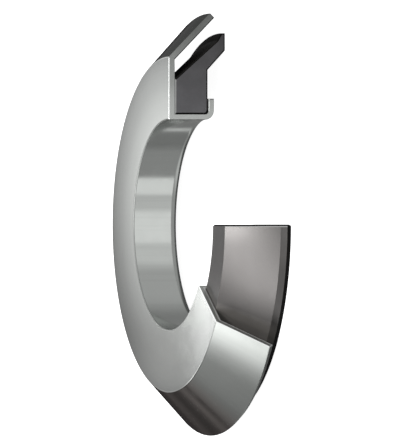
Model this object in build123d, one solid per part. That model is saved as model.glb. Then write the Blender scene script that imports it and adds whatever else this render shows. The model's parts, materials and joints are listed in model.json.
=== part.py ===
from build123d import *
from math import cos, radians, sin, tan
import os

os.makedirs("parts", exist_ok=True)

# Steel-cased axial face seal, cut open as a display sample. Millimetres.
# The shaft axis is Z. The flat outer face of the case is the plane Z = 0 and faces up,
# so the rubber lip points down and the whole part hangs below that plane.
# Sections are drawn with a radius from the axis and a depth below the flat face.

# Pressed case
bore_diameter = 20.0  # the shaft that the sleeve grips
sheet = 0.62  # gauge of the flat disc and of the flange
sleeve_wall = 0.52  # thinner than the sheet, because the sleeve and its hook are drawn
disc_width = 5.98  # from the bore to the bend of the flange
flange_length = 5.92  # along the slope, outside
flange_angle = 45.0  # between the flange and the shaft axis
hook_height = 2.0  # from the bore to the free edge of the hook
hook_bend = 0.34  # inner radius where the sleeve rolls over into the hook
bore_edge_radius = 0.12
flange_edge_radius = 0.20

# Moulded rubber ring
block_width = 3.30  # along the shaft, between the disc and the hook
back_height = 4.21  # from the ring's bore to the root of the lip, on the back face
lip_reach = 1.76  # how far the lip stands out behind the block
lip_spread = 4.3  # how much less the lip slopes than the flange around it
lip_back_angle = 46.4  # between the inner side of the lip and the shaft axis
lip_land = 0.37  # cylindrical land at the tip
lip_bevel_depth = 0.415  # bevel between the slope of the lip and that land
lip_bevel_height = 0.70

# Clearances between the rubber and the case
gap_to_sleeve = 0.02
gap_to_disc = 0.02
gap_to_hook = 0.13
gap_to_flange = 1.88  # open groove that lets the lip flex

# Display cut
quarter_cut = 90.0  # sector taken out of both pieces
case_step = 35.0  # further sector taken out of the case alone

# Places that both pieces share
bore_radius = bore_diameter / 2
sleeve_radius = bore_radius + sleeve_wall
bend_radius = bore_radius + disc_width
block_front = sheet + gap_to_disc
block_back = block_front + block_width
hook_front = block_back + gap_to_hook
case_depth = hook_front + sleeve_wall
flange_inner_start = bend_radius - sheet / cos(radians(flange_angle))


def flange_inner_radius(depth):
    """Radius of the flange's inner surface at a depth below the flat face."""
    return flange_inner_start + depth * tan(radians(flange_angle))


def ring_sector(outline, radii, removed):
    """Revolves a section about the shaft axis and leaves a sector of it out."""
    section_points = [(radius, -depth) for radius, depth in outline]
    with BuildPart() as ring:
        with BuildSketch(Plane.XZ):
            with BuildLine():
                FilletPolyline(*section_points, radius=radii, close=True)
            make_face()
        revolve(axis=Axis.Z, revolution_arc=360 - removed)
    return Rot(0, 0, quarter_cut) * ring.part


def case_section():
    """Outline of the bent sheet, from the bore's front edge round the flange to the hook."""
    slope_out = flange_length * sin(radians(flange_angle))
    slope_down = flange_length * cos(radians(flange_angle))
    across_out = sheet * cos(radians(flange_angle))
    across_down = sheet * sin(radians(flange_angle))
    tip_radius = bend_radius + slope_out
    hook_radius = bore_radius + hook_height
    corners = [
        (bore_radius, 0, bore_edge_radius),
        (bend_radius, 0, flange_edge_radius),
        (tip_radius, slope_down, 0),
        (tip_radius - across_out, slope_down + across_down, 0),
        (flange_inner_radius(sheet), sheet, 0),
        (sleeve_radius, sheet, 0),
        (sleeve_radius, hook_front, hook_bend),
        (hook_radius, hook_front, 0),
        (hook_radius, case_depth, 0),
        (bore_radius, case_depth, hook_bend + sleeve_wall),
    ]
    return [(radius, depth) for radius, depth, _ in corners], [edge for _, _, edge in corners]


def rubber_section():
    """Outline of the rubber: a block that fills the case, and the lip that stands out of it."""
    ring_bore = sleeve_radius + gap_to_sleeve
    shoulder_radius = flange_inner_radius(block_front) - gap_to_flange
    lip_root_radius = ring_bore + back_height
    tip_depth = block_back + lip_reach
    land_depth = tip_depth - lip_land
    bevel_depth = land_depth - lip_bevel_depth
    lip_slope = tan(radians(flange_angle - lip_spread))
    bevel_radius = shoulder_radius + lip_slope * (bevel_depth - block_front)
    land_radius = bevel_radius + lip_bevel_height
    lip_inner_radius = lip_root_radius + lip_reach * tan(radians(lip_back_angle))
    corners = [
        (ring_bore, block_front, 0),
        (shoulder_radius, block_front, 0),
        (bevel_radius, bevel_depth, 0),
        (land_radius, land_depth, 0),
        (land_radius, tip_depth, 0),
        (lip_inner_radius, tip_depth, 0),
        (lip_root_radius, block_back, 0),
        (ring_bore, block_back, hook_bend),
    ]
    return [(radius, depth) for radius, depth, _ in corners], [edge for _, _, edge in corners]


steel_case = ring_sector(*case_section(), quarter_cut + case_step)
rubber_seal = ring_sector(*rubber_section(), quarter_cut)

export_step(steel_case, "parts/steel_case.step")
export_step(rubber_seal, "parts/rubber_seal.step")
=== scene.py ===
import json
from collections import namedtuple
from math import acos, asin, ceil, cos, degrees, pi, radians, sin, tan

import bpy
from mathutils import Matrix, Quaternion, Vector


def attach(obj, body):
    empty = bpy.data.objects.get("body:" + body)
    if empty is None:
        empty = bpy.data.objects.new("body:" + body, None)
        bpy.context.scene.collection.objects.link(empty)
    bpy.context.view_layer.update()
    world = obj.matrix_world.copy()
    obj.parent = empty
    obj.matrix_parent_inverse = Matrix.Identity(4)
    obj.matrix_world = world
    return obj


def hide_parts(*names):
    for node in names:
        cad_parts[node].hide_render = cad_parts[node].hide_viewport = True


# Looks of a steel-cased axial face seal that is cut open as a display sample.
# The shaft axis is Z, the flat face of the case is up at Z = 0, and the rubber lip points down.
# Outlines are drawn in millimetres, as a radius from the axis and a depth below the flat face.
# "Near" is the side with the quarter cut out (+X), and "up" in the picture is +Y.

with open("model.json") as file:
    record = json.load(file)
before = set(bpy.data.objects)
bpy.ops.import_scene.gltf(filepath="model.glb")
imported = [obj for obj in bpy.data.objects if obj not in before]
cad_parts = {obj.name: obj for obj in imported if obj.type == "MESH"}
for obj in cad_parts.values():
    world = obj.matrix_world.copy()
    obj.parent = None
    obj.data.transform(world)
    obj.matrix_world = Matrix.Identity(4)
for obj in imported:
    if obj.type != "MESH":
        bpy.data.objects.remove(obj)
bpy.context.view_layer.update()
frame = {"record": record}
MM = 0.001  # a millimetre in metres

# Pressed case
bore_radius = frame["record"]["mounts"][0]["dims"]["r_mm"]
sheet = 0.62
sleeve_wall = 0.52
disc_width = 5.98
flange_length = 5.92
flange_angle = 45.0
hook_height = 2.0
hook_bend = 0.34
bore_edge_radius = 0.12
flange_edge_radius = 0.20
flange_tip_radius = 0.08

# Moulded rubber ring
block_width = 3.30
back_height = 4.21
lip_reach = 1.76
lip_spread = 4.3
lip_back_angle = 46.4
lip_land = 0.37
lip_bevel_depth = 0.415
lip_bevel_height = 0.70
lip_crown = 3.0  # the slope of the lip bulges a little, by this angle to each side

# Clearances between the rubber and the case
gap_to_sleeve = 0.02
gap_to_disc = 0.02
gap_to_hook = 0.13
gap_to_flange = 1.88

# Display cut, as angles about the axis from +X
ring_start = 90.0
case_end = 325.0
rubber_end = 360.0
painted_fill_centre = 319.5  # painted light on the rubber just under the cut edge of the case, where the case shades it
painted_fill_reach = 9.0
covered_end = 313.0  # up to here the flange covers the lip's front well; there the lip is less glossy and painted darker, as painted shade

# Fineness of the turned meshes
turn_step = 0.75  # degrees about the axis
end_step = 1.5  # the first and the last step, which have to hold the borders beside a cut
corner_steps = 5  # strips of a rounded corner
parts_per_metre = 1e7  # corners that agree to this part of a metre share one vertex

# Places that both pieces share
sleeve_radius = bore_radius + sleeve_wall
bend_radius = bore_radius + disc_width
block_front = sheet + gap_to_disc
block_back = block_front + block_width
hook_front = block_back + gap_to_hook
case_depth = hook_front + sleeve_wall
flange_inner_start = bend_radius - sheet / cos(radians(flange_angle))
lip_depth = block_back + lip_reach


def flange_inner_radius(depth):
    """Radius of the flange's inner surface at a depth below the flat face."""
    return flange_inner_start + depth * tan(radians(flange_angle))


# A corner of a section: its radius and depth, how far it is rounded, the side that follows it, the name
# of the rounded edge where it has a finish of its own, and the bulge of the side that follows, in degrees
Corner = namedtuple("Corner", "radius depth rounding side edge crown", defaults=(None, 0.0))


def case_corners():
    """Corners of the bent sheet, from the bore's front edge round the flange to the hook."""
    slope_out = flange_length * sin(radians(flange_angle))
    slope_down = flange_length * cos(radians(flange_angle))
    across_out = sheet * cos(radians(flange_angle))
    across_down = sheet * sin(radians(flange_angle))
    tip_radius = bend_radius + slope_out
    hook_radius = bore_radius + hook_height
    return [
        Corner(bore_radius, 0, bore_edge_radius, "steel_face", "steel_rim"),
        Corner(bend_radius, 0, flange_edge_radius, "steel_flange", "steel_bend"),
        Corner(tip_radius, slope_down, flange_tip_radius, "steel_edge", "steel_tip"),
        Corner(tip_radius - across_out, slope_down + across_down, 0, "steel_inside"),
        Corner(flange_inner_radius(sheet), sheet, 0, "steel_seat"),
        Corner(sleeve_radius, sheet, 0, "steel_seat"),
        Corner(sleeve_radius, hook_front, hook_bend, "steel_hook", "steel_seat"),
        Corner(hook_radius, hook_front, 0, "steel_edge"),
        Corner(hook_radius, case_depth, 0, "steel_sleeve"),
        Corner(bore_radius, case_depth, hook_bend + sleeve_wall, "steel_sleeve"),
    ]


def rubber_corners():
    """Corners of the rubber, from the bore's front edge down the lip's slope and back along the rear."""
    ring_bore = sleeve_radius + gap_to_sleeve
    shoulder_radius = flange_inner_radius(block_front) - gap_to_flange
    lip_root_radius = ring_bore + back_height
    land_depth = lip_depth - lip_land
    bevel_depth = land_depth - lip_bevel_depth
    lip_slope = tan(radians(flange_angle - lip_spread))
    bevel_radius = shoulder_radius + lip_slope * (bevel_depth - block_front)
    land_radius = bevel_radius + lip_bevel_height
    lip_inner_radius = lip_root_radius + lip_reach * tan(radians(lip_back_angle))
    return [
        Corner(ring_bore, block_front, 0, "rubber_front"),
        Corner(shoulder_radius, block_front, 0, "rubber_slope", crown=lip_crown),
        Corner(bevel_radius, bevel_depth, 0, "rubber_bevel"),
        Corner(land_radius, land_depth, 0, "rubber_land"),
        Corner(land_radius, lip_depth, 0, "rubber_land"),
        Corner(lip_inner_radius, lip_depth, 0, "rubber_back"),
        Corner(lip_root_radius, block_back, 0, "rubber_back"),
        Corner(bore_radius + hook_height, block_back, 0, "rubber_hooked"),
        Corner(ring_bore, block_back, hook_bend, "rubber_back", "rubber_back"),
    ]


# A strip of a section's outline: its two points, the outward normals there, and the side it belongs to
Strip = namedtuple("Strip", "first last first_normal last_normal side")


def turned(vector, angle):
    """A flat vector turned by an angle in degrees."""
    c, s = cos(radians(angle)), sin(radians(angle))
    return Vector((c * vector.x - s * vector.y, s * vector.x + c * vector.y))


def inset_outline(corners, inset):
    """Strips round a closed section that is drawn in by an inset.

    Each side and each rounded edge gives the same number of strips whatever the inset is,
    so that two outlines of one section can be joined strip by strip.
    """
    places = [Vector((corner.radius, corner.depth)) for corner in corners]
    count = len(places)
    twice_area = sum(places[i - 1].x * places[i].y - places[i].x * places[i - 1].y for i in range(count))
    turn = 1 if twice_area > 0 else -1
    sides = [(places[(i + 1) % count] - places[i]).normalized() for i in range(count)]
    outward = [Vector((side.y, -side.x)) * turn for side in sides]
    strips = []
    for i, corner in enumerate(corners):
        before, after = outward[i - 1], outward[i]
        miter = (before + after) / (1 + before.dot(after))
        sweep = degrees(acos(max(-1.0, min(1.0, before.dot(after)))))
        if before.x * after.y - before.y * after.x < 0:
            sweep = -sweep
        bulges = sweep * turn > 0
        # A hollow corner has its centre outside the section, so its radius counts as negative
        centre = places[i] - miter * (corner.rounding if bulges else -corner.rounding)
        arc_radius = max(corner.rounding - inset, 0) if bulges else -(corner.rounding + inset)
        if corner.rounding == 0 or arc_radius == 0:
            centre, arc_radius = places[i] - miter * inset, 0
        steps = corner_steps if corner.rounding else 0
        normals = [turned(before, sweep * k / max(steps, 1)) for k in range(steps)] + [after]
        points = [centre + normal * arc_radius for normal in normals]
        edge = corner.edge or corners[i - 1].side
        for k in range(steps):
            strips.append(Strip(points[k], points[k + 1], normals[k], normals[k + 1], edge))
        lean = sides[i] * tan(radians(corner.crown))
        first_normal = (after - lean).normalized()
        last_normal = (after + lean).normalized()
        strips.append(Strip(points[-1], None, first_normal, last_normal, corner.side))
    for k, strip in enumerate(strips):
        if strip.last is None:
            strips[k] = strip._replace(last=strips[(k + 1) % len(strips)].first)
    return strips


class TurnedMesh:
    """Collects the faces of a turned piece and turns them into one mesh with exact normals."""

    def __init__(self):
        """Starts without vertices and faces."""
        self.index = {}
        self.points = []
        self.faces = []
        self.normals = []
        self.finishes = []

    def vertex(self, point):
        """The number of the vertex at a point, which is new or shared."""
        key = tuple(round(value * parts_per_metre) for value in point)
        if key not in self.index:
            self.index[key] = len(self.points)
            self.points.append(tuple(point))
        return self.index[key]

    def face(self, corners, normals, finish):
        """Adds a face that looks the way its normals point, without repeated corners."""
        ring = [(self.vertex(point), point, normal) for point, normal in zip(corners, normals)]
        ring = [item for k, item in enumerate(ring) if item[0] != ring[k - 1][0]]
        if len(ring) < 3:
            return
        facing = Vector((0, 0, 0))
        for k, item in enumerate(ring):
            facing += ring[k - 1][1].cross(item[1])
        if facing.dot(sum((item[2] for item in ring), Vector((0, 0, 0)))) < 0:
            ring.reverse()
        self.faces.append([item[0] for item in ring])
        self.normals.extend(item[2] for item in ring)
        self.finishes.append(finish)

    def object(self, name, materials):
        """The object that has all the faces, each with its finish."""
        mesh = bpy.data.meshes.new(name)
        mesh.from_pydata(self.points, [], self.faces)
        order = sorted(set(self.finishes))
        for finish in order:
            mesh.materials.append(materials[finish])
        mesh.polygons.foreach_set("material_index", [order.index(finish) for finish in self.finishes])
        mesh.polygons.foreach_set("use_smooth", [True] * len(self.faces))
        mesh.normals_split_custom_set([tuple(normal) for normal in self.normals])
        piece = bpy.data.objects.new(name, mesh)
        bpy.context.scene.collection.objects.link(piece)
        return piece


def placed(point, angle):
    """A point of the section, turned about the axis by an angle in degrees, in metres."""
    c, s = cos(radians(angle)), sin(radians(angle))
    return Vector((point.x * c, point.x * s, -point.y)) * MM


def aimed(normal, angle):
    """A normal of the section, turned about the axis by an angle in degrees."""
    c, s = cos(radians(angle)), sin(radians(angle))
    return Vector((normal.x * c, normal.x * s, -normal.y))


# How a piece is finished at one cut: the widths of the chamfer and of the border along the cut edges, and
# the finish of the cut face. Three tables give the finishes of the border on the cut face, of the chamfer,
# and of the border on the turned sides. They go by side, and by "rest" for a side that they don't name.
# None leaves a side as it is.
Cut = namedtuple("Cut", "chamfer border face lines edges side_lines")


def along(table, side):
    """What a table of finishes says about a side."""
    return table.get(side, table["rest"])


def turned_piece(name, corners, start, end, first_cut, last_cut, materials, covered=None):
    """A section turned from one cut face to the other, with both faces and their broken edges.

    covered is an angle and a table: up to that angle, the sides that the table names have its finishes.
    """
    mesh = TurnedMesh()
    surface = inset_outline(corners, 0)
    turns = ceil((end - start - 2 * end_step) / turn_step)
    step = (end - start - 2 * end_step) / turns
    stations = turns + 4

    def angle_at(station, radius):
        """Where a station is; the two outer ones at each end keep the chamfer and the border wide."""
        if station < 2:
            return start + degrees(asin((first_cut.chamfer + station * first_cut.border) / radius))
        if station > stations - 2:
            width = last_cut.chamfer + (stations - station) * last_cut.border
            return end - degrees(asin(width / radius))
        return start + end_step + step * (station - 2)

    def side_finish(side, station):
        """The finish of a turned side between a station and the next."""
        cut = {0: first_cut, stations - 1: last_cut}.get(station)
        if cut and along(cut.side_lines, side):
            return along(cut.side_lines, side)
        if covered and angle_at(station, bore_radius) < covered[0]:
            return covered[1].get(side, side)
        return side

    for first, last, first_normal, last_normal, side in surface:
        for station in range(stations):
            spots = [
                (first, first_normal, station), (last, last_normal, station),
                (last, last_normal, station + 1), (first, first_normal, station + 1),
            ]
            angles = [angle_at(at, point.x) for point, _, at in spots]
            points = [placed(point, angle) for (point, _, _), angle in zip(spots, angles)]
            normals = [aimed(normal, angle) for (_, normal, _), angle in zip(spots, angles)]
            mesh.face(points, normals, side_finish(side, station))

    for cut, cut_angle, edge_station, way in ((first_cut, start, 0, -1), (last_cut, end, stations, 1)):
        rim = inset_outline(corners, cut.chamfer)
        inner = inset_outline(corners, cut.chamfer + cut.border)
        facing = Vector((-sin(radians(cut_angle)), cos(radians(cut_angle)), 0)) * way
        for outer, bound, core in zip(surface, rim, inner):
            outer_points = [placed(point, angle_at(edge_station, point.x)) for point in outer[:2]]
            bound_points = [placed(point, cut_angle) for point in (bound.last, bound.first)]
            core_points = [placed(point, cut_angle) for point in core[:2]]
            between = [(aimed(normal, cut_angle) + facing).normalized() for normal in outer[2:4]]
            mesh.face(outer_points + bound_points, between + between[::-1], along(cut.edges, outer.side))
            mesh.face(core_points + bound_points, [facing] * 4, along(cut.lines, outer.side))
        cut_ring = [placed(strip.first, cut_angle) for strip in inner]
        mesh.face(cut_ring, [facing] * len(cut_ring), cut.face)
    return mesh.object(name, materials)


# Shader helpers

# Sockets of a Mix node, which share their names: first input, second input and output, by kind of data
mix_sockets = {"FLOAT": (2, 3, 0), "VECTOR": (4, 5, 1), "RGBA": (6, 7, 2)}


def feed(tree, socket, value):
    """Gives an input a link or a constant."""
    if isinstance(value, bpy.types.NodeSocket):
        tree.links.new(value, socket)
    else:
        socket.default_value = value


def node(tree, kind, **settings):
    """A new node with its settings and the values of its named inputs."""
    made = tree.nodes.new(kind)
    for name, value in settings.items():
        if name in made.inputs:
            made.inputs[name].default_value = value
        else:
            setattr(made, name, value)
    return made


def maths(tree, operation, *values, clamp=False):
    """A Math node whose inputs are links or numbers."""
    made = node(tree, "ShaderNodeMath", operation=operation, use_clamp=clamp)
    for socket, value in zip(made.inputs, values):
        feed(tree, socket, value)
    return made.outputs[0]


def mapped(tree, value, low, high, out_low, out_high, kind="SMOOTHSTEP"):
    """A Map Range node from a link."""
    made = node(tree, "ShaderNodeMapRange", interpolation_type=kind)
    tree.links.new(value, made.inputs["Value"])
    for name, number in (("From Min", low), ("From Max", high), ("To Min", out_low), ("To Max", out_high)):
        made.inputs[name].default_value = number
    return made.outputs["Result"]


def mixed(tree, kind, factor, first, second, clamp=True):
    """A Mix node between two values, each a link or a constant, by a mask."""
    made = node(tree, "ShaderNodeMix", data_type=kind, clamp_factor=clamp)
    first_socket, second_socket, result = mix_sockets[kind]
    tree.links.new(factor, made.inputs["Factor"])
    feed(tree, made.inputs[first_socket], first)
    feed(tree, made.inputs[second_socket], second)
    return made.outputs[result]


def tinted(tree, low_color, high_color, factor):
    """A colour between two colours, by a mask, and beyond them where the mask leaves 0 to 1."""
    return mixed(tree, "RGBA", factor, (*low_color, 1), (*high_color, 1), clamp=False)


def new_group(name, inputs, outputs):
    """An empty shader node group: its tree, its named inputs with their usual values, and its outputs."""
    group = bpy.data.node_groups.new(name, "ShaderNodeTree")
    for label, kind, value in inputs:
        group.interface.new_socket(label, in_out="INPUT", socket_type=kind).default_value = value
    for label, kind in outputs:
        group.interface.new_socket(label, in_out="OUTPUT", socket_type=kind)
    entry = group.nodes.new("NodeGroupInput")
    leave = group.nodes.new("NodeGroupOutput")
    return group, entry.outputs, leave.inputs


def use_group(tree, group, **values):
    """Places a group, sets its inputs by their names and gives its outputs."""
    made = node(tree, "ShaderNodeGroup", node_tree=group)
    for name, value in values.items():
        feed(tree, made.inputs[name], value)
    return made.outputs


def make_round_place():
    """Where a point lies on the ring: radius and depth in millimetres, and the way out from the axis."""
    group, _, leave = new_group(
        "round place", [],
        [("Radius", "NodeSocketFloat"), ("Depth", "NodeSocketFloat"), ("Outward", "NodeSocketVector")],
    )
    place = node(group, "ShaderNodeTexCoord")
    split = node(group, "ShaderNodeSeparateXYZ")
    group.links.new(place.outputs["Object"], split.inputs[0])
    x, y, z = split.outputs
    square = maths(group, "ADD", maths(group, "MULTIPLY", x, x), maths(group, "MULTIPLY", y, y))
    radius = maths(group, "SQRT", square)
    group.links.new(maths(group, "DIVIDE", radius, MM), leave["Radius"])
    group.links.new(maths(group, "DIVIDE", z, -MM), leave["Depth"])
    join = node(group, "ShaderNodeCombineXYZ")
    group.links.new(maths(group, "DIVIDE", x, radius), join.inputs[0])
    group.links.new(maths(group, "DIVIDE", y, radius), join.inputs[1])
    group.links.new(join.outputs[0], leave["Outward"])
    return group


def make_tool_marks():
    """Fine marks left by drawing and polishing.

    Along 1 stretches them along the axis or the slope, as a press tool leaves them on a wall;
    Along 0 stretches them round the axis, as turning and polishing leave them.
    """
    group, entry, leave = new_group(
        "tool marks",
        [
            ("Along", "NodeSocketFloat", 1.0),
            ("Count", "NodeSocketFloat", 60.0),
            ("Seed", "NodeSocketFloat", 0.0),
        ],
        [("Fine", "NodeSocketFloat"), ("Broad", "NodeSocketFloat")],
    )
    place = use_group(group, GROUPS["round place"])
    rings = node(group, "ShaderNodeCombineXYZ")
    group.links.new(place["Radius"], rings.inputs[0])
    group.links.new(place["Depth"], rings.inputs[1])
    spokes = node(group, "ShaderNodeVectorMath", operation="SCALE")
    group.links.new(place["Outward"], spokes.inputs[0])
    group.links.new(entry["Count"], spokes.inputs["Scale"])
    either = mixed(group, "VECTOR", entry["Along"], rings.outputs[0], spokes.outputs[0])
    for label, scale, detail in (("Fine", 5.0, 3.0), ("Broad", 0.35, 1.0)):
        noise = node(group, "ShaderNodeTexNoise", noise_dimensions="4D", Scale=scale, Detail=detail)
        group.links.new(either, noise.inputs["Vector"])
        group.links.new(entry["Seed"], noise.inputs["W"])
        group.links.new(noise.outputs[0], leave[label])
    return group


def make_smudges():
    """Soft cloudy patches, as handling and cleaning leave on a plain surface."""
    group, entry, leave = new_group(
        "smudges",
        [("Size", "NodeSocketFloat", 3.0), ("Seed", "NodeSocketFloat", 0.0)],
        [("Value", "NodeSocketFloat")],
    )
    place = node(group, "ShaderNodeTexCoord")
    noise = node(group, "ShaderNodeTexNoise", noise_dimensions="4D", Detail=4.0, Roughness=0.6)
    group.links.new(place.outputs["Object"], noise.inputs["Vector"])
    group.links.new(maths(group, "DIVIDE", 1 / MM, entry["Size"]), noise.inputs["Scale"])
    group.links.new(entry["Seed"], noise.inputs["W"])
    group.links.new(noise.outputs[0], leave["Value"])
    return group


def make_grain():
    """Fine grain as a bumpy normal."""
    group, entry, leave = new_group(
        "grain",
        [
            ("Size", "NodeSocketFloat", 0.1),
            ("Strength", "NodeSocketFloat", 0.1),
            ("Distance", "NodeSocketFloat", 1e-5),
        ],
        [("Normal", "NodeSocketVector")],
    )
    place = node(group, "ShaderNodeTexCoord")
    noise = node(group, "ShaderNodeTexNoise", Detail=3.0, Roughness=0.55)
    group.links.new(place.outputs["Object"], noise.inputs["Vector"])
    group.links.new(maths(group, "DIVIDE", 1 / MM, entry["Size"]), noise.inputs["Scale"])
    bump = node(group, "ShaderNodeBump")
    group.links.new(noise.outputs[0], bump.inputs["Height"])
    group.links.new(entry["Strength"], bump.inputs["Strength"])
    group.links.new(entry["Distance"], bump.inputs["Distance"])
    group.links.new(bump.outputs[0], leave["Normal"])
    return group


def make_painted_fill():
    """How near a point of the ring is to the middle of the painted light under the case's cut: 1 there, and
    0 as far away as its reach.
    """
    group, _, leave = new_group("painted fill light", [], [("Nearness", "NodeSocketFloat")])
    place = use_group(group, GROUPS["round place"])
    toward_fill_centre = node(group, "ShaderNodeVectorMath", operation="DOT_PRODUCT")
    group.links.new(place["Outward"], toward_fill_centre.inputs[0])
    toward_fill_centre.inputs[1].default_value = (cos(radians(painted_fill_centre)), sin(radians(painted_fill_centre)), 0)
    limit = cos(radians(painted_fill_reach))
    nearness = mapped(group, toward_fill_centre.outputs["Value"], limit, 1.0, 0.0, 1.0, "LINEAR")
    group.links.new(nearness, leave["Nearness"])
    return group


# What the soft panel group asks for, besides the direction: the panel's place and size, and how soft its
# sides and its upper and lower rims are, in degrees
panel_measures = {
    "Centre bearing": 0.0,
    "Centre height": 0.0,
    "Half width": 10.0,
    "Half height": 10.0,
    "Softness": 5.0,
    "Rim softness": 5.0,
}


def make_soft_panel():
    """How much of a soft-edged panel is seen in a direction, by its bearing and its height in degrees."""
    measures = {"Bearing": 0.0, "Height": 0.0, **panel_measures}
    group, entry, leave = new_group(
        "soft panel",
        [(label, "NodeSocketFloat", value) for label, value in measures.items()],
        [("Mask", "NodeSocketFloat")],
    )
    off = maths(group, "SUBTRACT", entry["Bearing"], entry["Centre bearing"])
    off = maths(group, "WRAP", off, 180.0, -180.0)
    rise = maths(group, "SUBTRACT", entry["Height"], entry["Centre height"])
    masks = []
    for away, half, softness in ((off, "Half width", "Softness"), (rise, "Half height", "Rim softness")):
        inside = maths(group, "SUBTRACT", entry[half], maths(group, "ABSOLUTE", away))
        share = maths(group, "ADD", maths(group, "DIVIDE", inside, entry[softness]), 0.5)
        masks.append(mapped(group, share, 0.0, 1.0, 0.0, 1.0))
    group.links.new(maths(group, "MULTIPLY", *masks), leave["Mask"])
    return group


GROUPS = {}
GROUPS["round place"] = make_round_place()
GROUPS["tool marks"] = make_tool_marks()
GROUPS["painted fill light"] = make_painted_fill()
GROUPS["smudges"] = make_smudges()
GROUPS["grain"] = make_grain()
GROUPS["soft panel"] = make_soft_panel()


def new_material(name):
    """A new material with its shader tree and its Principled shader."""
    material = bpy.data.materials.new(name)
    material.use_nodes = True
    tree = material.node_tree
    return material, tree, tree.nodes["Principled BSDF"]


# Most of a noise lies between these values
noise_low = 0.3
noise_high = 0.7

# The steel's two tones; the second is the dark end of a painted radial shade
steel_light = (0.60, 0.622, 0.602)
steel_dark = (0.30, 0.312, 0.300)
steel_smudge_size = 2.5  # millimetres, as the other sizes of smudges and grain
steel_grain_size = 0.07
steel_smudging = (-0.03, 0.04)  # the least and the most that smudges add to the roughness
fine_marks_share = 0.4  # how strong the fine marks are beside the broad ones

# Radii between which the steel goes from its light to its dark tone, a painted shade that darkens it
# outward
on_disc = (bore_radius, bend_radius)
on_sleeve = (bore_radius, bore_radius + 9)
on_inside = (bore_radius, bend_radius + 4)
on_section = (bore_radius, bend_radius + 4.2)
on_flange = (bend_radius - 6, bend_radius + 9)
all_over = (bore_radius, bend_radius + 9)


def make_steel(
    name, radii, roughness, marks, seed, drawn=False,
    light=steel_light, dark=steel_dark, grit=0.05, skim=1.0,
):
    """Bright pressed steel, light at the first of two radii and dark at the second, as painted shade.

    marks is how strong its tool marks are. They run round the axis, or along the axis or the slope where
    the steel is drawn. grit is how strong the grain is, and skim how bright a grazing reflection is.
    """
    material, tree, shader = new_material(name)
    place = use_group(tree, GROUPS["round place"])
    tool = use_group(tree, GROUPS["tool marks"], Along=float(drawn), Seed=seed)
    smudge = use_group(tree, GROUPS["smudges"], Size=steel_smudge_size, Seed=seed)
    grain = use_group(tree, GROUPS["grain"], Size=steel_grain_size, Strength=grit)
    light_radius, dark_radius = radii
    fine_marks = marks * fine_marks_share
    # Painted shade: light at the first radius and dark at the second; the tool marks add to it
    radial_painted_shade = mapped(tree, place["Radius"], dark_radius, light_radius, 0.0, 1.0, "LINEAR")
    streak = mapped(tree, tool["Broad"], noise_low, noise_high, -marks, marks, "LINEAR")
    fine = mapped(tree, tool["Fine"], noise_low, noise_high, -fine_marks, fine_marks, "LINEAR")
    tone = maths(tree, "ADD", maths(tree, "ADD", radial_painted_shade, streak), fine, clamp=True)
    tree.links.new(tinted(tree, dark, light, tone), shader.inputs["Base Color"])
    smooth, dull = (roughness + change for change in steel_smudging)
    rough = mapped(tree, smudge["Value"], noise_low, noise_high, smooth, dull)
    tree.links.new(rough, shader.inputs["Roughness"])
    shader.inputs["Metallic"].default_value = 1.0
    shader.inputs["Specular Tint"].default_value = (skim, skim, skim, 1)
    tree.links.new(grain["Normal"], shader.inputs["Normal"])
    return material


rubber_gloss_tint = (1.0, 0.96, 0.94, 1)
rubber_smudge_size = 1.8
rubber_smudge_seed = 4.0
rubber_grain_size = 0.09
rubber_smudging = (-0.01, 0.015)
bloom_start = 0.35  # the bloom starts at this value of the smudges
painted_light_end = bend_radius + 2  # radius where the painted light, lighter near the bore, is darkest

# Colours of the rubber, each without its bloom and with it; painted light moves the colour along the same
# way
skin = ((0.010, 0.0095, 0.009), (0.018, 0.017, 0.016))
# The rubber under the flange is painted darker than the skin: painted shade
covered_skin = ((0.006, 0.006, 0.005), (0.011, 0.010, 0.009))
black = ((0.003, 0.003, 0.003), (0.005, 0.005, 0.005))
soft_black = ((0.035, 0.034, 0.035), (0.045, 0.044, 0.045))
# Grey of pale lines along cut edges of the rubber: painted highlight
painted_highlight_grey = ((0.270, 0.274, 0.270), (0.310, 0.314, 0.310))
cut_grey = ((0.077, 0.076, 0.080), (0.091, 0.090, 0.095))


def make_rubber(name, colors, roughness, gloss, bump=0.06, fade=0.0, fill_light=0.0):
    """Black moulded rubber with a soft gloss and a faint paler bloom.

    Painted light may be added to the bloom: lighter near the bore and darker away from it, and a paler
    patch beside the cut of the case, where the case shades the lip.
    """
    material, tree, shader = new_material(name)
    smudge = use_group(tree, GROUPS["smudges"], Size=rubber_smudge_size, Seed=rubber_smudge_seed)
    grain = use_group(tree, GROUPS["grain"], Size=rubber_grain_size, Strength=bump)
    bloom_and_painted_light = mapped(tree, smudge["Value"], bloom_start, noise_high, 0.0, 1.0)
    # Painted light: the rubber is lighter near the bore and darker away from it
    if fade:
        place = use_group(tree, GROUPS["round place"])
        painted_light_near_bore = mapped(tree, place["Radius"], bore_radius, painted_light_end, fade, -fade, "LINEAR")
        bloom_and_painted_light = maths(tree, "ADD", bloom_and_painted_light, painted_light_near_bore)
    # Painted light beside the cut of the case, where the case shades the rubber
    if fill_light:
        painted_fill = maths(tree, "MULTIPLY", use_group(tree, GROUPS["painted fill light"])["Nearness"], fill_light)
        bloom_and_painted_light = maths(tree, "ADD", bloom_and_painted_light, painted_fill)
    tree.links.new(tinted(tree, *colors, bloom_and_painted_light), shader.inputs["Base Color"])
    smooth, dull = (roughness + change for change in rubber_smudging)
    rough = mapped(tree, smudge["Value"], noise_low, noise_high, smooth, dull)
    tree.links.new(rough, shader.inputs["Roughness"])
    shader.inputs["Specular IOR Level"].default_value = gloss
    shader.inputs["Specular Tint"].default_value = rubber_gloss_tint
    tree.links.new(grain["Normal"], shader.inputs["Normal"])
    return material


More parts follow.
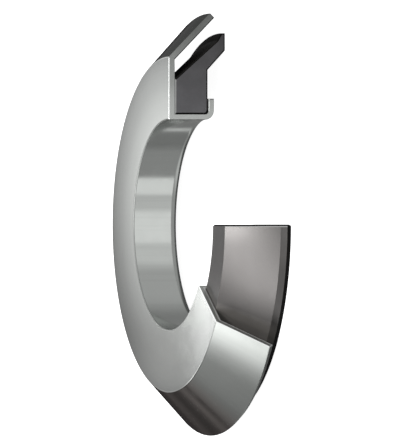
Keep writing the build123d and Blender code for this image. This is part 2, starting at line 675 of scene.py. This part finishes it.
materials = {
    "steel_face": make_steel(
        "polished disc", on_disc, roughness=0.17, marks=0.03, seed=1.0, dark=(0.19, 0.198, 0.192),
    ),
    # Besides being matt, the edge of the bore is painted darker than the steel: painted shade that keeps it
    # from catching a highlight
    "steel_rim": make_steel(
        "matt edge of the bore", on_disc, roughness=0.5, marks=0.05, seed=1.3, drawn=True,
        light=(0.34, 0.35, 0.34),
    ),
    # The outer bend is painted darker than the steel: painted shade that tones down its reflection
    "steel_bend": make_steel(
        "outer bend", on_flange, roughness=0.12, marks=0.05, seed=1.5, drawn=True,
        light=(0.33, 0.342, 0.33),
    ),
    "steel_flange": make_steel(
        "drawn flange", on_flange, roughness=0.12, marks=0.03, seed=2.0, drawn=True, grit=0.01, skim=0.5,
    ),
    "steel_tip": make_steel(
        "rounded free edge", all_over, roughness=0.20, marks=0.03, seed=2.5, drawn=True,
    ),
    "steel_sleeve": make_steel(
        "drawn sleeve", on_sleeve, roughness=0.14, marks=0.08, seed=3.0, drawn=True,
    ),
    # The flange's inner side is rougher, and it is painted dark as painted shade under the flange
    "steel_inside": make_steel(
        "dull inner side in painted shade", on_inside, roughness=0.40, marks=0.10, seed=4.0, drawn=True,
        light=(0.20, 0.206, 0.20), dark=(0.10, 0.104, 0.10),
    ),
    "steel_seat": make_steel(
        "inner side behind the rubber", on_inside, roughness=0.40, marks=0.10, seed=4.5, drawn=True,
    ),
    # The hook's inner side is painted nearly white: painted light, so that the gap between it and the
    # rubber looks bright
    "steel_hook": make_steel(
        "inner side of the hook", on_disc, roughness=0.75, marks=0.05, seed=4.7, drawn=True,
        light=(0.9, 0.91, 0.9), dark=(0.80, 0.81, 0.80),
    ),
    "steel_edge": make_steel("sheared sheet edge", all_over, roughness=0.35, marks=0.15, seed=5.0),
    # The cut sheet is painted much darker towards its outer radius: painted shade
    "steel_cut": make_steel(
        "cut sheet", on_section, roughness=0.38, marks=0.08, seed=6.0,
        light=(0.560, 0.577, 0.560), dark=(0.132, 0.136, 0.132),
    ),
    "steel_end": make_steel(
        "far end of the sheet", on_section, roughness=0.38, marks=0.08, seed=6.5,
        dark=(0.40, 0.412, 0.40),
    ),
    # Broken edges painted paler than the steel: the chamfers catch real light, and the paler colour adds a
    # painted highlight
    "steel_bright": make_steel(
        "bright broken edge", all_over, roughness=0.28, marks=0.05, seed=7.0,
        light=(0.98, 0.99, 0.98), dark=(0.60, 0.61, 0.60),
    ),
    # Near-black thin lines along the edges of the cuts: painted shade
    "steel_burr": make_steel(
        "painted dark edge line", all_over, roughness=0.5, marks=0.05, seed=8.0,
        light=(0.05, 0.05, 0.05), dark=(0.03, 0.03, 0.03),
    ),
    # Cut edges painted darker than the steel: painted shade
    "steel_dim": make_steel(
        "dim cut edge", all_over, roughness=0.4, marks=0.05, seed=9.0,
        light=(0.22, 0.22, 0.22), dark=(0.10, 0.10, 0.10),
    ),
    # Cut edges painted nearly white: painted highlight
    "steel_pale": make_steel(
        "pale cut edge", all_over, roughness=0.5, marks=0.05, seed=9.5,
        light=(0.90, 0.91, 0.90), dark=(0.80, 0.81, 0.80),
    ),
    # Their fill values add painted light beside the cut of the case, where the case shades the rubber
    "rubber_front": make_rubber("rubber front", skin, roughness=0.40, gloss=0.78, fill_light=10.0),
    "rubber_slope": make_rubber("slope of the lip", skin, roughness=0.34, gloss=0.8, fill_light=20.0),
    "rubber_bevel": make_rubber("rubber bevel", skin, roughness=0.33, gloss=0.75, fill_light=8.0),
    # The lip's edge is a darker, less glossy copy of the skin: painted shade
    "rubber_land": make_rubber("rubber lip edge", black, roughness=0.55, gloss=0.1, bump=0.05),
    "rubber_back": make_rubber("moulded rubber skin", skin, roughness=0.34, gloss=0.8),
    "rubber_hooked": make_rubber("rubber behind the hook", skin, roughness=0.34, gloss=0.8),
    "rubber_covered": make_rubber("rubber under the flange", covered_skin, roughness=0.5, gloss=0.2),
    # The cut rubber is painted lighter near the bore and darker outward: painted light
    "rubber_cut": make_rubber("cut rubber", cut_grey, roughness=0.75, gloss=0.25, bump=0.12, fade=1.8),
    # Black strips along the edges of the rubber's cuts: painted shade
    "rubber_border": make_rubber("painted dark cut border", black, roughness=0.7, gloss=0.05, bump=0.02),
    # A softer dark line along the cut: painted shade
    "rubber_fade": make_rubber("soft cut border", soft_black, roughness=0.7, gloss=0.1, bump=0.05),
    # Pale lines along cut edges of the rubber: painted highlight
    "rubber_seam": make_rubber("painted pale highlight line", painted_highlight_grey, roughness=0.6, gloss=0.3, bump=0.05),
}

# Cuts of the case: where the quarter is taken out, and at its other end
quarter_cut = Cut(
    chamfer=0.035, border=0.06, face="steel_cut",
    lines={
        "rest": "steel_cut", "steel_face": "steel_pale", "steel_inside": "steel_burr",
        "steel_edge": "steel_dim", "steel_tip": "steel_dim",
    },
    edges={
        "rest": "steel_bright", "steel_face": "steel_pale", "steel_bend": "steel_cut",
        "steel_flange": "steel_cut", "steel_tip": "steel_burr", "steel_edge": "steel_burr",
        "steel_inside": "steel_burr", "steel_seat": "steel_cut", "steel_hook": "steel_cut",
        "steel_sleeve": "steel_dim",
    },
    side_lines={"rest": None, "steel_tip": "steel_burr"},
)
case_cut = Cut(
    chamfer=0.08, border=0.13, face="steel_end",
    lines={"rest": "steel_end", "steel_inside": "steel_pale", "steel_seat": "steel_pale"},
    edges={"rest": "steel_bright"},
    side_lines={"rest": None},
)

# Cuts of the rubber: beside the case's section, and at the end that stands free
section_cut = Cut(
    chamfer=0.04, border=0.09, face="rubber_cut",
    lines={"rest": "rubber_border", "rubber_front": "rubber_seam", "rubber_hooked": "rubber_fade"},
    edges={"rest": "rubber_border", "rubber_front": "rubber_seam", "rubber_slope": "rubber_covered"},
    side_lines={"rest": None},
)
blade_cut = Cut(
    chamfer=0.14, border=0.09, face="rubber_cut",
    lines={"rest": "rubber_border"},
    edges={"rest": "rubber_border"},
    side_lines={"rest": None, "rubber_slope": "rubber_seam", "rubber_bevel": "rubber_seam"},
)

pressed_case = turned_piece(
    "pressed_case", case_corners(), ring_start, case_end, quarter_cut, case_cut, materials,
)
moulded_ring = turned_piece(
    "moulded_ring", rubber_corners(), ring_start, rubber_end, section_cut, blade_cut, materials,
    covered=(covered_end, {"rubber_slope": "rubber_covered", "rubber_bevel": "rubber_covered"}),
)
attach(pressed_case, "root")
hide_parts("steel_case")
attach(moulded_ring, "root")
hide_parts("rubber_seal")

# Camera: a very long lens, which sees the seal almost without perspective. The picture's size is in pixels,
# and axis_pixel is where the centre of the flat face falls, from the left and from the top.
picture_height = 448
picture_width = 400
camera_lens = 1450.0
camera_sensor = 36.0
pixels_per_mm = 10.50
axis_pixel = (168.75, 224.6)
to_camera = Vector((0.940, 0, 0.341)).normalized()
picture_up = Vector((0, 1, 0))
picture_right = picture_up.cross(to_camera)


def make_camera():
    """Aims the camera so that the centre of the flat face falls on its pixel."""
    data = bpy.data.cameras.new("camera")
    data.lens = camera_lens
    data.sensor_width = camera_sensor
    camera = bpy.data.objects.new("camera", data)
    bpy.context.scene.collection.objects.link(camera)
    right = (picture_width / 2 - axis_pixel[0]) / pixels_per_mm * MM
    up = (axis_pixel[1] - picture_height / 2) / pixels_per_mm * MM
    aim = picture_right * right + picture_up * up
    distance = camera_lens / camera_sensor * picture_height / pixels_per_mm * MM
    turn = Matrix((picture_right, picture_up, to_camera)).transposed().to_4x4()
    camera.matrix_world = Matrix.Translation(aim + to_camera * distance) @ turn
    data.clip_start = distance / 10
    data.clip_end = distance * 4
    bpy.context.scene.camera = camera


# Studio


def toward(bearing, height):
    """The direction at a bearing from +X and a height above the table, in degrees."""
    b, h = radians(bearing), radians(height)
    return Vector((cos(h) * cos(b), cos(h) * sin(b), sin(h)))


def make_lamp(
    name, bearing, height, distance, length, width, radiance, roll=0.0, target=(0, 0, 0), only_on=None
):
    """A softbox that faces a target on the seal. Radiance 1 is white in a mirror.

    Its length is level, or rolled by an angle in degrees that lifts the end at the greater bearing.
    The distance and the size are in metres, the target in millimetres.
    With only_on, the lamp lights that piece alone and makes no glare on the others.
    """
    data = bpy.data.lights.new(name, "AREA")
    data.shape = "RECTANGLE"
    data.size = length
    data.size_y = width
    data.energy = radiance * pi * length * width
    lamp = bpy.data.objects.new(name, data)
    bpy.context.scene.collection.objects.link(lamp)
    direction = toward(bearing, height)
    lamp.location = Vector(target) * MM + direction * distance
    lamp.rotation_mode = "QUATERNION"
    lamp.rotation_quaternion = direction.to_track_quat("Z", "Y") @ Quaternion((0, 0, 1), radians(roll))
    lamp.visible_camera = False
    if only_on:
        lit = bpy.data.collections.new(name + " lights")
        lit.objects.link(only_on)
        lamp.light_linking.receiver_collection = lit


def only_reflected(piece):
    """Lets only reflections see a piece of the studio, so that it lights nothing and shades nothing."""
    piece.visible_camera = False
    piece.visible_diffuse = False
    piece.visible_shadow = False


def background_rays(tree):
    """1 for the rays that see the white background: the camera's, mirrored ones and those through glass."""
    rays = node(tree, "ShaderNodeLightPath").outputs
    seen = maths(tree, "MAXIMUM", rays["Is Camera Ray"], rays["Is Glossy Ray"])
    return maths(tree, "MAXIMUM", seen, rays["Is Transmission Ray"])


def make_world(plain_level):
    """White where it is seen, and a plain soft light on everything else."""
    world = bpy.data.worlds.new("white studio")
    bpy.context.scene.world = world
    world.use_nodes = True
    tree = world.node_tree
    background = tree.nodes["Background"]
    background.inputs["Color"].default_value = (1, 1, 1, 1)
    strength = mapped(tree, background_rays(tree), 0, 1, plain_level, 1.0, "LINEAR")
    tree.links.new(strength, background.inputs["Strength"])


floor_gap = 0.01  # millimetres, so that the table and the lip's rim don't share a plane
floor_reach = 3.0  # metres, from the middle to each side
floor_grey = 0.9
floor_roughness = 0.9


def make_floor(own_light):
    """A pale table that glows a little where it is seen, so that it is white but keeps the shadow."""
    mesh = bpy.data.meshes.new("table")
    low = -(lip_depth + floor_gap) * MM
    corners = [(-1, -1), (1, -1), (1, 1), (-1, 1)]
    mesh.from_pydata([(x * floor_reach, y * floor_reach, low) for x, y in corners], [], [(0, 1, 2, 3)])
    material, tree, shader = new_material("white table")
    shader.inputs["Base Color"].default_value = (floor_grey, floor_grey, floor_grey, 1)
    shader.inputs["Roughness"].default_value = floor_roughness
    shader.inputs["Specular IOR Level"].default_value = 0.0
    shader.inputs["Emission Color"].default_value = (1, 1, 1, 1)
    glow = mapped(tree, background_rays(tree), 0, 1, 0.0, own_light, "LINEAR")
    tree.links.new(glow, shader.inputs["Emission Strength"])
    mesh.materials.append(material)
    floor = bpy.data.objects.new("table", mesh)
    bpy.context.scene.collection.objects.link(floor)
    floor.visible_glossy = False


# Tent of grey and white cloth round the seal. Its panels are given as seen from the seal, in degrees:
# centre bearing, centre height, half width, half height, softness of the sides, softness of the upper and
# lower rims, and then the grey level. Later panels lie over earlier ones.
tent_radius = 0.8  # metres
tent_rows = 24
tent_columns = 48
tent_base = 0.10  # grey level where no panel lies
tent_panels = [
    ("horizon", (10, 14, 110, 30, 30, 12), 0.55),
    ("dark far side", (180, 8, 45, 22, 30, 10), 0.072),
    ("far side, up", (160, -5, 14, 14, 12, 8), 0.18),
    ("far side, middle", (-161, -1, 5, 5, 8, 6), 0.16),
    ("low side", (-90, 20, 48, 60, 40, 20), 0.43),
    ("pale strip", (-146, 17, 1.5, 14, 2, 6), 0.24),
    ("dark strip", (-142, 17, 1.2, 14, 2, 6), 0.07),
    ("bright low side", (-76, 10, 12, 14, 8, 8), 2.40),
    ("table", (0, -68, 100, 36, 40, 12), 0.40),
    ("table, low side", (-85, -53, 26, 15, 24, 12), 0.65),
    ("lower side, far up", (120, -23, 75, 9, 30, 5), 0.27),
    ("lower side, up", (60, -23, 45, 9, 40, 5), 0.50),
    ("lower side, near up", (35, -23, 12, 9, 14, 5), 0.76),
    ("lower side, near", (0, -24, 22, 10, 8, 5), 0.98),
    ("lower side, near low", (-24, -23, 9, 9, 6, 5), 0.68),
    ("window strip", (-43.5, -23, 10.5, 9, 3, 5), 0.97),
    ("lower side, low", (-75, -23, 21, 9, 6, 5), 0.34),
    ("lower side, lowest", (-110, -23, 17, 9, 14, 5), 0.24),
    ("thin strip", (-131, -23, 4, 9, 4, 5), 0.66),
    ("lower side, far low", (-152, -23, 17, 9, 8, 5), 0.23),
    ("dark gap", (180, -16, 12, 4, 6, 5), 0.02),
    ("upper ring", (0, 90, 180, 50, 16, 16), 0.80),
    ("upper dark quarter", (-136, 69, 28, 9, 14, 8), 0.20),
    ("beside the bend", (-146, 56, 22, 7, 16, 8), 2.40),
    ("upper low side", (-106, 57, 18, 12, 10, 16), 2.40),
    ("upper far side", (180, 80, 45, 7, 30, 6), 1.60),
    ("upper high side, near", (43, 40, 18, 14, 10, 10), 1.30),
    ("upper high side, far", (121, 36, 20, 12, 10, 10), 1.30),
]
warm_place = (-158, 4, 22, 20, 14, 10)  # where the cloth is a little warmer, measured as a panel is
warm_tint = (1.08, 0.94, 0.93)


def new_glow(name):
    """A new material that only glows, with its tree and its Emission shader."""
    material, tree, shader = new_material(name)
    tree.nodes.remove(shader)
    material.cycles.emission_sampling = "NONE"
    return material, tree, node(tree, "ShaderNodeEmission")


def make_tent():
    """A round tent of grey and white cloth, which only reflections see. It gives the steel its tones."""
    points = [
        tuple(toward(360 * k / tent_columns, 180 * (j + 0.5) / tent_rows - 90) * tent_radius)
        for j in range(tent_rows)
        for k in range(tent_columns)
    ]
    points += [(0, 0, -tent_radius), (0, 0, tent_radius)]
    bottom, top = len(points) - 2, len(points) - 1
    last_row = (tent_rows - 1) * tent_columns
    faces = []
    for k in range(tent_columns):
        following = (k + 1) % tent_columns
        for row in range(0, last_row, tent_columns):
            above = row + tent_columns
            faces.append((row + k, row + following, above + following, above + k))
        faces.append((bottom, following, k))
        faces.append((last_row + k, last_row + following, top))
    mesh = bpy.data.meshes.new("tent")
    mesh.from_pydata(points, [], faces)

    material, tree, glow = new_glow("tent cloth")
    place = node(tree, "ShaderNodeTexCoord")
    unit = node(tree, "ShaderNodeVectorMath", operation="NORMALIZE")
    tree.links.new(place.outputs["Object"], unit.inputs[0])
    split = node(tree, "ShaderNodeSeparateXYZ")
    tree.links.new(unit.outputs[0], split.inputs[0])
    x, y, z = split.outputs
    bearing = maths(tree, "MULTIPLY", maths(tree, "ARCTAN2", y, x), 180 / pi)
    height = maths(tree, "MULTIPLY", maths(tree, "ARCSINE", z), 180 / pi)

    def panel_mask(measures):
        """The mask of a panel, by its measures."""
        named = dict(zip(panel_measures, measures))
        return use_group(tree, GROUPS["soft panel"], Bearing=bearing, Height=height, **named)["Mask"]

    level = tent_base
    for _, measures, grey in tent_panels:
        level = mixed(tree, "FLOAT", panel_mask(measures), level, grey)
    tree.links.new(tinted(tree, (1, 1, 1), warm_tint, panel_mask(warm_place)), glow.inputs["Color"])
    tree.links.new(level, glow.inputs["Strength"])
    tree.links.new(glow.outputs[0], tree.nodes["Material Output"].inputs["Surface"])
    mesh.materials.append(material)
    tent = bpy.data.objects.new("tent", mesh)
    bpy.context.scene.collection.objects.link(tent)
    only_reflected(tent)


def make_card(name, x, span, rise, level):
    """An upright glowing card across the X axis, in millimetres, which only reflections see.

    level makes its grey from the shader tree and the places along Y and Z, in millimetres.
    What lies behind the card shines through it.
    """
    mesh = bpy.data.meshes.new(name)
    corners = [(x, span[0], rise[0]), (x, span[1], rise[0]), (x, span[1], rise[1]), (x, span[0], rise[1])]
    mesh.from_pydata([tuple(Vector(corner) * MM) for corner in corners], [], [(0, 1, 2, 3)])
    material, tree, glow = new_glow(name)
    place = node(tree, "ShaderNodeTexCoord")
    split = node(tree, "ShaderNodeSeparateXYZ")
    tree.links.new(place.outputs["Object"], split.inputs[0])
    across, up = (maths(tree, "DIVIDE", split.outputs[k], MM) for k in (1, 2))
    tree.links.new(level(tree, across, up), glow.inputs["Strength"])
    clear = node(tree, "ShaderNodeBsdfTransparent")
    both = node(tree, "ShaderNodeAddShader")
    tree.links.new(glow.outputs[0], both.inputs[0])
    tree.links.new(clear.outputs[0], both.inputs[1])
    tree.links.new(both.outputs[0], tree.nodes["Material Output"].inputs["Surface"])
    mesh.materials.append(material)
    card = bpy.data.objects.new(name, mesh)
    bpy.context.scene.collection.objects.link(card)
    only_reflected(card)


# Far card: it goes from dim to bright between two places along Y, and its lower end is paler again
far_card_grade = (-20, 20)
far_card_dim = 0.22
far_card_bright = 1.18
far_card_low_end = (-10, -17)
far_card_low_gain = 0.40

# Near card: where its light starts, in millimetres above the flat face, and how it grows from there
near_card_low = 3.2
near_card_power = 3.0
near_card_gain = 0.0295


def far_card_level(tree, across, up):
    """Paler towards its upper end, and again at its lower end."""
    graded = mapped(tree, across, *far_card_grade, far_card_dim, far_card_bright, "LINEAR")
    low_end = mapped(tree, across, *far_card_low_end, 0.0, far_card_low_gain)
    return maths(tree, "ADD", graded, low_end)


def near_card_level(tree, across, up):
    """Brighter and brighter towards its top."""
    above = maths(tree, "SUBTRACT", up, near_card_low)
    return maths(tree, "MULTIPLY", maths(tree, "POWER", above, near_card_power), near_card_gain)


make_camera()
make_world(plain_level=0.45)
make_floor(own_light=0.94)
make_tent()
make_card("far card", x=-45, span=(-30, 30), rise=(5, 40), level=far_card_level)
make_card("near card", x=-8, span=(-20, -6), rise=(near_card_low, 9), level=near_card_level)
make_lamp(
    "strip softbox", bearing=-37, height=58, distance=0.5, length=0.36, width=0.10, radiance=12.4, roll=38,
)
make_lamp(
    "small lamp", bearing=-2, height=64, distance=0.025, length=0.006, width=0.006, radiance=22.0,
    target=(13.6, 0, 0), only_on=moulded_ring,
)

bpy.context.scene.view_settings.view_transform = "Standard"
